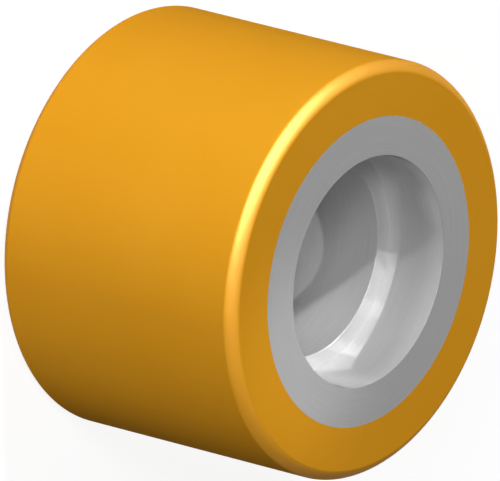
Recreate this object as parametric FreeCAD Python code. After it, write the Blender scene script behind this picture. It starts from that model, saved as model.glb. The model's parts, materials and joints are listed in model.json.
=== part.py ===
"""A pallet truck wheel, 85 mm in diameter and 60 mm wide, without its bearings.

A thick-walled steel wheel centre is turned from tube. Each end has a seat for a ball bearing of
47 x 14 mm, bored as deep as the bearing is wide, so that the bearing ends flush with the end face.
The shoulder at the bottom of each seat stops the bearing's outer ring, and the tube's own bore
stays open between the two shoulders for the axle and the spacer sleeve.
A polyurethane tread is cast round the wheel centre and bonded to it. It is faced off flush with
both ends, and its running edges are rounded.

Millimetres. The wheel stands on one end face: the axle's axis is +Z, and the origin is the centre
of the lower end face. Both ends are alike.
"""
import FreeCAD, Part
import os
from collections import namedtuple

# Bearing seats, bored to the bearing's own sizes
SEAT_DIAMETER = 47.0
SEAT_DEPTH = 14.0
SHOULDER_HEIGHT = 3.5  # from the seat's wall in to the bore, over the bearing's outer ring

# Walls, from the seats outwards, and the width that both of them share
CENTRE_WALL = 8.0  # steel between the seat and the bond
TREAD_THICKNESS = 11.0  # polyurethane between the bond and the running surface
WHEEL_WIDTH = 60.0

# Edges
TREAD_EDGE_RADIUS = 2.5  # round between the running surface and each side of the tread
BORE_EDGE_BREAK = 0.2  # bevel at the mouth of each seat and at the shoulder's inner edge

# Radii that follow from the sizes above
SEAT_RADIUS = SEAT_DIAMETER / 2
BORE_RADIUS = SEAT_RADIUS - SHOULDER_HEIGHT
BOND_RADIUS = SEAT_RADIUS + CENTRE_WALL
TREAD_RADIUS = BOND_RADIUS + TREAD_THICKNESS

AXIS_POINT = FreeCAD.Vector(0, 0, 0)
AXIS = FreeCAD.Vector(0, 0, 1)
FULL_TURN = 360

# A right-angled corner of a half section, with the size of the round or bevel that takes it off
Corner = namedtuple("Corner", "radius height form size")


def sharp(radius, height):
    return Corner(radius, height, "sharp", 0.0)


def rounded(radius, height, size):
    return Corner(radius, height, "round", size)


def bevelled(radius, height, size):
    return Corner(radius, height, "bevel", size)


def with_upper_end(lower_end):
    """The corners of both ends: the lower end's, then the same ones mirrored, on the way back."""
    upper_end = [c._replace(height=WHEEL_WIDTH - c.height) for c in reversed(lower_end)]
    return lower_end + upper_end


def place(corner):
    return FreeCAD.Vector(corner.radius, 0, corner.height)


def step_towards(start, goal, distance):
    return start + (goal - start).normalize() * distance


def corner_ends(corners, index):
    """Where the straight runs on both sides of a corner stop for its round or bevel."""
    corner = corners[index]
    tip = place(corner)
    before = place(corners[index - 1])
    after = place(corners[(index + 1) % len(corners)])
    return step_towards(tip, before, corner.size), step_towards(tip, after, corner.size)


def corner_edge(corner, start, end):
    """The bevel or quarter round that takes a corner off, from one straight run to the next."""
    if corner.form == "bevel":
        return Part.LineSegment(start, end).toShape()
    tip = place(corner)
    arc_centre = start + end - tip
    return Part.Arc(start, step_towards(arc_centre, tip, corner.size), end).toShape()


def half_section(corners):
    """The closed wire through the corners, with each one rounded, bevelled or left sharp."""
    ends = [corner_ends(corners, index) for index in range(len(corners))]
    edges = []
    for index, corner in enumerate(corners):
        start, end = ends[index]
        run_start = ends[index - 1][1]
        edges.append(Part.LineSegment(run_start, start).toShape())
        if corner.form != "sharp":
            edges.append(corner_edge(corner, start, end))
    return Part.Wire(edges)


def turned(corners):
    """The solid that a half section makes when it goes once round the axle's axis."""
    return Part.Face(half_section(corners)).revolve(AXIS_POINT, AXIS, FULL_TURN)


def wheel_centre():
    """The steel sleeve: a tube with a bearing seat and its shoulder bored into each end."""
    return turned(
        with_upper_end(
            [
                bevelled(BORE_RADIUS, SEAT_DEPTH, BORE_EDGE_BREAK),
                sharp(SEAT_RADIUS, SEAT_DEPTH),
                bevelled(SEAT_RADIUS, 0.0, BORE_EDGE_BREAK),
                sharp(BOND_RADIUS, 0.0),
            ]
        )
    )


def tread():
    """The polyurethane ring: its inside is the bond to the wheel centre, flush at both ends."""
    return turned(
        with_upper_end(
            [
                sharp(BOND_RADIUS, 0.0),
                rounded(TREAD_RADIUS, 0.0, TREAD_EDGE_RADIUS),
            ]
        )
    )


def main():
    os.makedirs("parts", exist_ok=True)
    for name, make in (("wheel_centre", wheel_centre), ("tread", tread)):
        make().exportStep(f"parts/{name}.step")


main()
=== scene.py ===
"""The looks of a pallet truck wheel: an amber cast polyurethane tread round a turned steel wheel centre.

Metres, in the model's own frame: the wheel stands on one end face at z = 0, with its axis on +Z.
Both pieces are bodies of revolution. Each is worked out as one half section carried round the axis.
"""
import json
import math

import bpy
import numpy as np
from mathutils import Matrix, Vector


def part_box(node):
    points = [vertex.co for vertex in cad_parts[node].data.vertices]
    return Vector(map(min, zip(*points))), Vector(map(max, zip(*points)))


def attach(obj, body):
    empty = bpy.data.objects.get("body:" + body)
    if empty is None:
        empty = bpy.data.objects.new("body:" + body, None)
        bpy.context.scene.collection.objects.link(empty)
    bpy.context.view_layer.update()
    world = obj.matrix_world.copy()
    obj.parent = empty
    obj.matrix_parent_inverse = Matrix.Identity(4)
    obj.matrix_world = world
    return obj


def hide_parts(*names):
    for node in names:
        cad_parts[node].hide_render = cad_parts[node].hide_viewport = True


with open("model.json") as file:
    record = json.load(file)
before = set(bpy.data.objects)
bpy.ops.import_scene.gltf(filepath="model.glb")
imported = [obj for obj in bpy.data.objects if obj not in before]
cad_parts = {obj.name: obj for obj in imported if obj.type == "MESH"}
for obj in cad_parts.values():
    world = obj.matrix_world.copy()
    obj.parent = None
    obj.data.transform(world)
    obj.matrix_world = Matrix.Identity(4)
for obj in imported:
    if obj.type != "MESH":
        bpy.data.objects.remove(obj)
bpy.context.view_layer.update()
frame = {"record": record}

MM = 0.001

# Sizes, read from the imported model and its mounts
MOUNTS = {mount["name"]: mount for mount in frame["record"]["mounts"]}


def mount_radius(name):
    return MOUNTS[name]["dims"]["r_mm"] * MM


def wall_span(name):
    """The lowest and highest point of a bore's straight wall."""
    middle = MOUNTS[name]["pos_m"][2]
    half = MOUNTS[name]["dims"]["length_mm"] * MM / 2
    return middle - half, middle + half


TREAD_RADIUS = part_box("tread")[1].x
BOND_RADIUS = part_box("wheel_centre")[1].x
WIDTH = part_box("tread")[1].z
SEAT_RADIUS = mount_radius("seat_top")
BORE_RADIUS = mount_radius("axle_way")
UPPER_SHOULDER, SEAT_WALL_END = wall_span("seat_top")
LOWER_SHOULDER = WIDTH - UPPER_SHOULDER
EDGE_BREAK = (WIDTH - SEAT_WALL_END) / 2  # the photo's broken edges look half as wide as the model's

# Corners: size, power and steps. A power of 2 is a quarter circle, and a power of 1 is a bevel
TREAD_EDGE_SIZE = 2.3 * MM
TREAD_EDGE = (TREAD_EDGE_SIZE, 1.45, 24)
BROKEN_EDGE = (EDGE_BREAK, 1.3, 6)
SHARP = (0.0, 2.0, 1)  # a corner of size 0 has no use for the other two

STEPS_AROUND = 480


# Surfaces of revolution


def clockwise(ways):
    return np.stack([ways[:, 1], -ways[:, 0]], axis=1)


def half_section(corners):
    """A closed half section: points (radius, height), and the normals with which runs end and start there.

    corners are (radius, height, size, power, steps), with the solid on the left of the way round.
    At a corner the way turns from d1 to d2. A corner of size 0 stays sharp. Any other is a
    superellipse: its centre is the corner, less d1 times the size, plus d2 times the size. At the
    angle t, from 0 to 90 degrees, the point is the centre plus the size times (d1 sin(t)^(2/p) -
    d2 cos(t)^(2/p)), and the way is d1 cos(t)^(2-2/p) + d2 sin(t)^(2-2/p), with p the power.
    A normal is the way, turned 90 degrees clockwise.
    """
    places = np.array([corner[:2] for corner in corners])
    ahead = np.roll(places, -1, axis=0) - places
    ways = ahead / np.linalg.norm(ahead, axis=1)[:, None]
    points, ends, starts = [], [], []
    for index, (radius, height, size, power, steps) in enumerate(corners):
        d1, d2 = ways[index - 1], ways[index]
        if size == 0:
            points.append(places[index : index + 1])
            ends.append(clockwise(d1[None]))
            starts.append(clockwise(d2[None]))
            continue
        centre = places[index] + (d2 - d1) * size
        t = np.linspace(0, math.pi / 2, steps + 1)[:, None]
        sine, cosine = np.sin(t), np.abs(np.cos(t))
        points.append(centre + size * (sine ** (2 / power) * d1 - cosine ** (2 / power) * d2))
        way = cosine ** (2 - 2 / power) * d1 + sine ** (2 - 2 / power) * d2
        normal = clockwise(way / np.linalg.norm(way, axis=1)[:, None])
        ends.append(normal)
        starts.append(normal)
    return np.concatenate(points), np.concatenate(ends), np.concatenate(starts)


def turned_piece(name, corners):
    """The mesh of a half section carried once round the axis.

    A point of the section at (r, h) goes to (r cos a, r sin a, h) at the angle a, and a normal
    (nr, nh) to (nr cos a, nr sin a, nh). The grid closes on itself both ways. The UV map holds the
    angle as a share of a turn, and the distance along the section in metres.
    """
    section, ends, starts = half_section(corners)
    rows = len(section)
    angle = np.arange(STEPS_AROUND) * 2 * math.pi / STEPS_AROUND
    turn = np.stack([np.cos(angle), np.sin(angle)], axis=1)

    def carried(pairs):
        flat = pairs[:, None, :1] * turn[None]
        up = np.broadcast_to(pairs[:, None, 1:], (rows, STEPS_AROUND, 1))
        return np.concatenate([flat, up], axis=2)

    row, column = np.divmod(np.arange(rows * STEPS_AROUND), STEPS_AROUND)
    next_row, next_column = (row + 1) % rows, (column + 1) % STEPS_AROUND
    grid_rows = np.stack([row, row, next_row, next_row], axis=1)
    grid_columns = np.stack([column, next_column, next_column, column], axis=1)
    faces = grid_rows * STEPS_AROUND + grid_columns
    start_normals = carried(starts)[grid_rows[:, :2], grid_columns[:, :2]]
    end_normals = carried(ends)[grid_rows[:, 2:], grid_columns[:, 2:]]
    normals = np.concatenate([start_normals, end_normals], axis=1)
    steps = np.linalg.norm(np.roll(section, -1, axis=0) - section, axis=1)
    along = np.concatenate([[0], np.cumsum(steps)])
    u = np.stack([column, column + 1, column + 1, column], axis=1) / STEPS_AROUND
    v = along[np.stack([row, row, row + 1, row + 1], axis=1)]

    mesh = bpy.data.meshes.new(name)
    mesh.from_pydata(carried(section).reshape(-1, 3).tolist(), [], faces.tolist())
    mesh.polygons.foreach_set("use_smooth", np.ones(len(faces), bool))
    uv_map = mesh.uv_layers.new(name="turned")
    uv_map.uv.foreach_set("vector", np.stack([u, v], axis=2).ravel())
    mesh.normals_split_custom_set(normals.reshape(-1, 3).tolist())
    mesh.update()
    piece = bpy.data.objects.new(name, mesh)
    bpy.context.collection.objects.link(piece)
    return piece


def make_tread():
    """A rectangle from the bond out to the running surface, its outer edges rounded, carried round."""
    return turned_piece(
        "moulded_tread",
        [
            (BOND_RADIUS, 0.0, *SHARP),
            (TREAD_RADIUS, 0.0, *TREAD_EDGE),
            (TREAD_RADIUS, WIDTH, *TREAD_EDGE),
            (BOND_RADIUS, WIDTH, *SHARP),
        ],
    )


def make_wheel_centre():
    """A section from the bond in to the bore, stepped at each end for a bearing's seat, carried round."""
    return turned_piece(
        "turned_wheel_centre",
        [
            (SEAT_RADIUS, 0.0, *BROKEN_EDGE),
            (BOND_RADIUS, 0.0, *SHARP),
            (BOND_RADIUS, WIDTH, *SHARP),
            (SEAT_RADIUS, WIDTH, *BROKEN_EDGE),
            (SEAT_RADIUS, UPPER_SHOULDER, *SHARP),
            (BORE_RADIUS, UPPER_SHOULDER, *BROKEN_EDGE),
            (BORE_RADIUS, LOWER_SHOULDER, *BROKEN_EDGE),
            (SEAT_RADIUS, LOWER_SHOULDER, *SHARP),
        ],
    )


# Materials: the nodes that they share


def feed(tree, value, socket):
    """Links an output to an input, or sets the input where the value is a plain number or colour."""
    if isinstance(value, (float, tuple)):
        socket.default_value = value
    else:
        tree.links.new(value, socket)


def calculated(tree, operation, *values):
    """The result of one step of arithmetic on outputs and plain numbers."""
    step = tree.nodes.new("ShaderNodeMath")
    step.operation = operation
    for socket, value in zip(step.inputs, values):
        feed(tree, value, socket)
    return step.outputs[0]


def between(tree, mask, none, full):
    """A number that goes from none to full while a mask goes from 0 to 1."""
    return calculated(tree, "MULTIPLY_ADD", mask, full - none, none)


def mixed(tree, mask, none, full):
    """A colour that goes from none to full while a mask goes from 0 to 1."""
    mix = tree.nodes.new("ShaderNodeMix")
    mix.data_type = "RGBA"
    colour_a, colour_b, colour_out = mix.inputs[6], mix.inputs[7], mix.outputs[2]
    feed(tree, mask, mix.inputs["Factor"])
    feed(tree, none, colour_a)
    feed(tree, full, colour_b)
    return colour_out


def past(tree, source, none, full):
    """A mask that rises softly from 0 to 1 while a number goes from none to full."""
    rise = tree.nodes.new("ShaderNodeMapRange")
    rise.interpolation_type = "SMOOTHSTEP"
    feed(tree, source, rise.inputs["Value"])
    feed(tree, none, rise.inputs["From Min"])
    feed(tree, full, rise.inputs["From Max"])
    return rise.outputs[0]


NOISE_LOW, NOISE_HIGH = 0.3, 0.7  # noise seldom goes past these


def spread(tree, source, low, high):
    """A number that goes from low to high over the range that noise has."""
    ranged = tree.nodes.new("ShaderNodeMapRange")
    feed(tree, source, ranged.inputs["Value"])
    feed(tree, NOISE_LOW, ranged.inputs["From Min"])
    feed(tree, NOISE_HIGH, ranged.inputs["From Max"])
    feed(tree, low, ranged.inputs["To Min"])
    feed(tree, high, ranged.inputs["To Max"])
    return ranged.outputs[0]


def noise(tree, place, scale, detail):
    texture = tree.nodes.new("ShaderNodeTexNoise")
    feed(tree, place, texture.inputs["Vector"])
    feed(tree, scale, texture.inputs["Scale"])
    feed(tree, detail, texture.inputs["Detail"])
    return texture.outputs[0]


def bumped(tree, surface, height, depth):
    bump = tree.nodes.new("ShaderNodeBump")
    feed(tree, height, bump.inputs["Height"])
    feed(tree, depth, bump.inputs["Distance"])
    feed(tree, bump.outputs[0], surface.inputs["Normal"])


LINE_DETAIL = 2.0


def turning_lines_group():
    """Node group: the fine rings that a cutting tool leaves, from the distance along the section.

    Lines is noise, from 0 to 1, at a point on a tube. Going once round the wheel goes once round the
    tube, whose radius is the breaks per turn, and a metre along the section goes the lines per metre
    up it. So the noise is much stretched round the turn, and it closes on itself there.
    """
    tree = bpy.data.node_groups.new("turning_lines", "ShaderNodeTree")
    for name in ("Lines per Metre", "Breaks per Turn", "Seed"):
        tree.interface.new_socket(name, in_out="INPUT", socket_type="NodeSocketFloat")
    tree.interface.new_socket("Lines", in_out="OUTPUT", socket_type="NodeSocketFloat")
    given = tree.nodes.new("NodeGroupInput").outputs
    made = tree.nodes.new("NodeGroupOutput")
    uv = tree.nodes.new("ShaderNodeUVMap")
    uv.uv_map = "turned"
    parts = tree.nodes.new("ShaderNodeSeparateXYZ")
    feed(tree, uv.outputs[0], parts.inputs[0])
    angle = calculated(tree, "MULTIPLY", parts.outputs["X"], 2 * math.pi)
    place = tree.nodes.new("ShaderNodeCombineXYZ")
    for axis, operation in (("X", "COSINE"), ("Y", "SINE")):
        wave = calculated(tree, operation, angle)
        feed(tree, calculated(tree, "MULTIPLY", wave, given["Breaks per Turn"]), place.inputs[axis])
    up = calculated(tree, "MULTIPLY_ADD", parts.outputs["Y"], given["Lines per Metre"], given["Seed"])
    feed(tree, up, place.inputs["Z"])
    feed(tree, noise(tree, place.outputs[0], 1.0, LINE_DETAIL), made.inputs["Lines"])
    return tree


def axis_distance_group():
    """Node group: how far a point lies from the wheel's axis, in metres."""
    tree = bpy.data.node_groups.new("axis_distance", "ShaderNodeTree")
    tree.interface.new_socket("Radius", in_out="OUTPUT", socket_type="NodeSocketFloat")
    made = tree.nodes.new("NodeGroupOutput")
    place = tree.nodes.new("ShaderNodeTexCoord")
    flat = tree.nodes.new("ShaderNodeVectorMath")
    flat.operation = "MULTIPLY"
    flat.inputs[1].default_value = (1, 1, 0)
    feed(tree, place.outputs["Object"], flat.inputs[0])
    length = tree.nodes.new("ShaderNodeVectorMath")
    length.operation = "LENGTH"
    feed(tree, flat.outputs[0], length.inputs[0])
    feed(tree, length.outputs["Value"], made.inputs["Radius"])
    return tree


TURNING_LINES = turning_lines_group()
AXIS_DISTANCE = axis_distance_group()


def turning_lines(tree, per_metre, breaks, seed):
    """The group of that name, placed in a material with its own values."""
    group = tree.nodes.new("ShaderNodeGroup")
    group.node_tree = TURNING_LINES
    feed(tree, per_metre, group.inputs["Lines per Metre"])
    feed(tree, breaks, group.inputs["Breaks per Turn"])
    feed(tree, seed, group.inputs["Seed"])
    return group.outputs["Lines"]


def axis_distance(tree):
    group = tree.nodes.new("ShaderNodeGroup")
    group.node_tree = AXIS_DISTANCE
    return group.outputs["Radius"]


def new_material(name):
    material = bpy.data.materials.new(name)
    material.use_nodes = True
    return material, material.node_tree, material.node_tree.nodes["Principled BSDF"]


# Amber cast polyurethane. Colours are those of its deepest and palest spots
POLYURETHANE_DEEP = (0.93, 0.408, 0.018, 1)
POLYURETHANE_PALE = (0.95, 0.424, 0.022, 1)
CLOUDS_PER_METRE = 45.0
CLOUD_DETAIL = 3.0
TREAD_LINES = (1500.0, 1.5, 4.0)  # per metre, breaks per turn, and seed
TREAD_LINE_DEPTH = 0.001 * MM
TREAD_ROUGHNESS = (0.45, 0.49)
# How much sheen its faces and its rounded edges have. A little metal besides tints the gloss amber
FACE_COAT = 0.01
EDGE_COAT = 0.3
COAT_ROUGHNESS = 0.47
FACE_METAL = 0.025
EDGE_METAL = 0.05
SHEEN_FADE = 0.3 * TREAD_EDGE_SIZE  # over how much of a rounded edge its sheen sets in


def into_rounded_edge(tree, distance, face):
    """A mask: 0 up to where the rounded edge before a face starts, and 1 once the sheen has set in."""
    start = face - TREAD_EDGE_SIZE
    return past(tree, distance, start, start + SHEEN_FADE)


def polyurethane():
    """Dull and slightly cloudy, with a sheen along its rounded edges."""
    material, tree, surface = new_material("amber_polyurethane")
    place = tree.nodes.new("ShaderNodeTexCoord").outputs["Object"]
    cloudy = spread(tree, noise(tree, place, CLOUDS_PER_METRE, CLOUD_DETAIL), 0.0, 1.0)
    feed(tree, mixed(tree, cloudy, POLYURETHANE_DEEP, POLYURETHANE_PALE), surface.inputs["Base Color"])
    lines = turning_lines(tree, *TREAD_LINES)
    feed(tree, spread(tree, lines, *TREAD_ROUGHNESS), surface.inputs["Roughness"])
    bumped(tree, surface, lines, TREAD_LINE_DEPTH)

    parts = tree.nodes.new("ShaderNodeSeparateXYZ")
    feed(tree, place, parts.inputs[0])
    above_middle = calculated(tree, "SUBTRACT", parts.outputs["Z"], WIDTH / 2)
    near_end = into_rounded_edge(tree, calculated(tree, "ABSOLUTE", above_middle), WIDTH / 2)
    near_rim = into_rounded_edge(tree, axis_distance(tree), TREAD_RADIUS)
    edge = calculated(tree, "MULTIPLY", near_end, near_rim)
    feed(tree, between(tree, edge, FACE_COAT, EDGE_COAT), surface.inputs["Coat Weight"])
    feed(tree, between(tree, edge, FACE_METAL, EDGE_METAL), surface.inputs["Metallic"])
    feed(tree, COAT_ROUGHNESS, surface.inputs["Coat Roughness"])
    feed(tree, 0.0, surface.inputs["Specular IOR Level"])
    return material


# Turned steel. Colours are those of its deepest and palest lines
FACED_STEEL_DEEP = (0.535, 0.535, 0.535, 1)
FACED_STEEL_PALE = (0.57, 0.57, 0.57, 1)
# Painted shade: the broken edges at the seats' mouths are drawn darker than the faced steel, so they catch
# less light
BROKEN_EDGE_PAINTED_SHADE = (0.32, 0.32, 0.32, 1)
BORED_STEEL_DEEP = (0.62, 0.62, 0.62, 1)
BORED_STEEL_PALE = (0.67, 0.67, 0.67, 1)
STEEL_LINES = (3500.0, 2.0, 0.0)  # per metre, breaks per turn, and seed
STEEL_LINE_DEPTH = 0.0001 * MM
FACED_ROUGHNESS = 0.5
BORED_ROUGHNESS = 0.05
ROUGHNESS_SWING = 0.02  # how far the lines take the roughness up and down
FACED_METAL = 0.03
BORED_METAL = 0.15
STEEL_SPECULAR = 0.03
BORED_GLOSS = 0.4  # a clear gloss over the bored steel, stronger the flatter it is seen
BORED_MARGIN = 0.01 * MM  # how far past the seat's wall the bored finish reaches, and then fades out
EDGE_SHADE_FADE = 0.25 * EDGE_BREAK  # over how much of its width the painted shade on a broken edge sets in


def turned_steel():
    """Dull on the faced ends, bright and glossy where the seats and bore are cut, with painted shade on
    the seats' broken edges.
    """
    material, tree, surface = new_material("turned_steel")
    radius = axis_distance(tree)
    bored = past(tree, radius, SEAT_RADIUS + 2 * BORED_MARGIN, SEAT_RADIUS + BORED_MARGIN)
    # painted shade on the broken edge at each seat's mouth
    painted_edge_shade = past(tree, radius, SEAT_RADIUS + EDGE_BREAK, SEAT_RADIUS + EDGE_BREAK - EDGE_SHADE_FADE)
    lines = turning_lines(tree, *STEEL_LINES)
    shade = spread(tree, lines, 0.0, 1.0)
    faced_colour = mixed(tree, shade, FACED_STEEL_DEEP, FACED_STEEL_PALE)
    bored_colour = mixed(tree, shade, BORED_STEEL_DEEP, BORED_STEEL_PALE)
    outer_colour = mixed(tree, painted_edge_shade, faced_colour, BROKEN_EDGE_PAINTED_SHADE)
    feed(tree, mixed(tree, bored, outer_colour, bored_colour), surface.inputs["Base Color"])
    roughness = between(tree, bored, FACED_ROUGHNESS, BORED_ROUGHNESS)
    swing = spread(tree, lines, -ROUGHNESS_SWING, ROUGHNESS_SWING)
    feed(tree, calculated(tree, "ADD", roughness, swing), surface.inputs["Roughness"])
    bumped(tree, surface, lines, STEEL_LINE_DEPTH)
    feed(tree, between(tree, bored, FACED_METAL, BORED_METAL), surface.inputs["Metallic"])
    feed(tree, between(tree, bored, 0.0, BORED_GLOSS), surface.inputs["Coat Weight"])
    feed(tree, BORED_ROUGHNESS, surface.inputs["Coat Roughness"])
    feed(tree, STEEL_SPECULAR, surface.inputs["Specular IOR Level"])
    return material


# Studio

WHITE = (1, 1, 1, 1)
FLOOR_REACH = 3.0
FLOOR_DROP = 0.02 * MM  # keeps the floor and the wheel's lower face from flickering into each other
FLOOR_LIT = (0.3, 0.3, 0.3, 1)  # the colour with which the floor lights the wheel
FLOOR_GLOW = 1.13
FLOOR_GLOW_SHARE = 0.8  # the rest shows the wheel's shadow


def background_share(tree):
    """1 where a ray comes from the camera, a gloss or a glass, and 0 where it only lights."""
    path = tree.nodes.new("ShaderNodeLightPath").outputs
    camera_or_gloss = calculated(tree, "MAXIMUM", path["Is Camera Ray"], path["Is Glossy Ray"])
    return calculated(tree, "MAXIMUM", camera_or_gloss, path["Is Transmission Ray"])


def shader(tree, kind, colour):
    node = tree.nodes.new(kind)
    feed(tree, colour, node.inputs["Color"])
    return node


def mixed_shaders(tree, share, first, second):
    mix = tree.nodes.new("ShaderNodeMixShader")
    for socket, value in zip(mix.inputs, (share, first.outputs[0], second.outputs[0])):
        feed(tree, value, socket)
    return mix


def make_floor():
    """A square sheet, white to the camera and dull grey to what it lights."""
    mesh = bpy.data.meshes.new("floor")
    quarters = ((-1, -1), (1, -1), (1, 1), (-1, 1))
    corners = [(x * FLOOR_REACH, y * FLOOR_REACH, -FLOOR_DROP) for x, y in quarters]
    mesh.from_pydata(corners, [], [(0, 1, 2, 3)])
    floor = bpy.data.objects.new("floor", mesh)
    bpy.context.collection.objects.link(floor)
    material, tree, surface = new_material("white_floor")
    tree.nodes.remove(surface)
    lit = shader(tree, "ShaderNodeBsdfDiffuse", FLOOR_LIT)
    seen = shader(tree, "ShaderNodeBsdfDiffuse", WHITE)
    glow = shader(tree, "ShaderNodeEmission", WHITE)
    feed(tree, FLOOR_GLOW, glow.inputs["Strength"])
    shown = mixed_shaders(tree, FLOOR_GLOW_SHARE, seen, glow)
    both = mixed_shaders(tree, background_share(tree), lit, shown)
    feed(tree, both.outputs[0], tree.nodes["Material Output"].inputs[0])
    mesh.materials.append(material)


def make_world():
    world = bpy.data.worlds.new("studio")
    bpy.context.scene.world = world
    world.use_nodes = True
    background = world.node_tree.nodes["Background"]
    feed(world.node_tree, WHITE, background.inputs["Color"])
    feed(world.node_tree, background_share(world.node_tree), background.inputs["Strength"])


# Camera, measured on the photograph of 500 x 481 pixels, whose projection is parallel
PICTURE_WIDTH_PX = 500
PICTURE_HEIGHT_PX = 481
AXIS_TO_SIGHT = math.radians(52.75)  # between the wheel's axis and the line of sight
AXIS_BELOW_LEVEL = math.radians(14.28)  # how far the axis dips to the right in the picture
WHEEL_MIDDLE_PX = (251.8, 242.1)  # where the middle of the wheel lies in the picture
PX_PER_METRE = 5034
LENS_MM = 1500
SENSOR_MM = 36
CLIP_SHARES = (0.1, 3)  # of the distance to the wheel

WHEEL_MIDDLE = Vector((0, 0, WIDTH / 2))


def camera_axes():
    """The camera's right, up and back directions, as the columns of a turn."""
    back = Vector((0, -math.sin(AXIS_TO_SIGHT), math.cos(AXIS_TO_SIGHT)))
    level = Vector((1, 0, 0))
    upright = Matrix((level, back.cross(level), back)).transposed()
    return upright @ Matrix.Rotation(math.pi / 2 + AXIS_BELOW_LEVEL, 3, "Z")


def make_camera():
    data = bpy.data.cameras.new("camera")
    data.lens = LENS_MM
    data.sensor_width = SENSOR_MM
    distance = LENS_MM / SENSOR_MM * PICTURE_WIDTH_PX / PX_PER_METRE
    data.clip_start, data.clip_end = [share * distance for share in CLIP_SHARES]
    right = (PICTURE_WIDTH_PX / 2 - WHEEL_MIDDLE_PX[0]) / PX_PER_METRE
    up = (WHEEL_MIDDLE_PX[1] - PICTURE_HEIGHT_PX / 2) / PX_PER_METRE
    axes = camera_axes()
    place = WHEEL_MIDDLE + axes @ Vector((right, up, distance))
    camera = bpy.data.objects.new("camera", data)
    camera.matrix_world = Matrix.Translation(place) @ axes.to_4x4()
    bpy.context.collection.objects.link(camera)
    bpy.context.scene.camera = camera


# Lamps: name, azimuth from -Y towards -X and elevation in degrees, width and height in metres, and level.
# A level of 1 brings a white face square to the lamp to full brightness
LAMP_DISTANCE = 1.5
LAMPS = (
    ("key_light", 62.5, 34.5, 0.08, 0.08, 0.44),
    ("front_light", 15, 36, 0.4, 0.4, 0.34),
    ("low_light", -6, 5, 0.4, 0.2, 0.22),
    ("back_light", 180, 5, 0.4, 0.2, 0.3),
)
# Softboxes that show only in the gloss: along the tread's rounded edge, and in the corner of the seat
TREAD_HIGHLIGHTS = [("edge_highlight", 43, 33, 2.5, 1.4, 14.5)]
SEAT_HIGHLIGHTS = [
    ("seat_highlight_" + side, azimuth, 37, 1.6, 0.7, 1.1)
    for side, azimuth in (("front", 10), ("middle", 60), ("side", 110))
]
# The faint spot on one side of the upper end face: where it falls, from how far, how wide and how soft
FACE_SPOT_POINT = Vector((20, -14.5, 60)) * MM
FACE_SPOT_DISTANCE = 1.2
FACE_SPOT_REACH = 14 * MM
FACE_SPOT_BLEND = 0.75
FACE_SPOT_RADIUS = 20 * MM
FACE_SPOT_LEVEL = 0.47
STEEL_SPOT_LEVEL = 0.28  # what the steel gets besides


def place_lamp(name, data, target, way, distance):
    lamp = bpy.data.objects.new(name, data)
    lamp.location = target + way * distance
    lamp.rotation_mode = "QUATERNION"
    lamp.rotation_quaternion = way.to_track_quat("Z", "Y")
    bpy.context.collection.objects.link(lamp)
    return lamp


def softbox(name, azimuth, elevation, width, height, level):
    """An oval softbox that faces the middle of the wheel."""
    data = bpy.data.lights.new(name, "AREA")
    data.shape = "ELLIPSE"
    data.size = width
    data.size_y = height
    data.energy = level * math.pi**2 * LAMP_DISTANCE**2
    turn, rise = math.radians(azimuth), math.radians(elevation)
    way = Vector((-math.sin(turn) * math.cos(rise), -math.cos(turn) * math.cos(rise), math.sin(rise)))
    return place_lamp(name, data, WHEEL_MIDDLE, way, LAMP_DISTANCE)


def highlights(lamps):
    """Softboxes that show only in the gloss."""
    boxes = [softbox(*lamp) for lamp in lamps]
    for box in boxes:
        box.visible_diffuse = False
    return boxes


def face_spot(name, level):
    """A spot from straight above, with no mirror image."""
    data = bpy.data.lights.new(name, "SPOT")
    data.spot_size = 2 * math.atan(FACE_SPOT_REACH / FACE_SPOT_DISTANCE)
    data.spot_blend = FACE_SPOT_BLEND
    data.shadow_soft_size = FACE_SPOT_RADIUS
    data.energy = level * 4 * math.pi**2 * FACE_SPOT_DISTANCE**2
    spot = place_lamp(name, data, FACE_SPOT_POINT, Vector((0, 0, 1)), FACE_SPOT_DISTANCE)
    spot.visible_glossy = False
    return spot


def light_only(piece, lamps):
    receivers = bpy.data.collections.new("lamps_on_" + piece.name)
    receivers.objects.link(piece)
    for lamp in lamps:
        lamp.light_linking.receiver_collection = receivers


# The wheel

tread = make_tread()
tread.data.materials.append(polyurethane())
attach(tread, "root")
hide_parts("tread")

wheel_centre = make_wheel_centre()
wheel_centre.data.materials.append(turned_steel())
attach(wheel_centre, "root")
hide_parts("wheel_centre")

# Its studio

make_floor()
make_world()
make_camera()
for lamp in LAMPS:
    softbox(*lamp).visible_glossy = False
light_only(tread, highlights(TREAD_HIGHLIGHTS))
face_spot("face_spot", FACE_SPOT_LEVEL)
steel_spot = face_spot("steel_face_spot", STEEL_SPOT_LEVEL)
light_only(wheel_centre, [*highlights(SEAT_HIGHLIGHTS), steel_spot])
bpy.context.scene.view_settings.view_transform = "Standard"
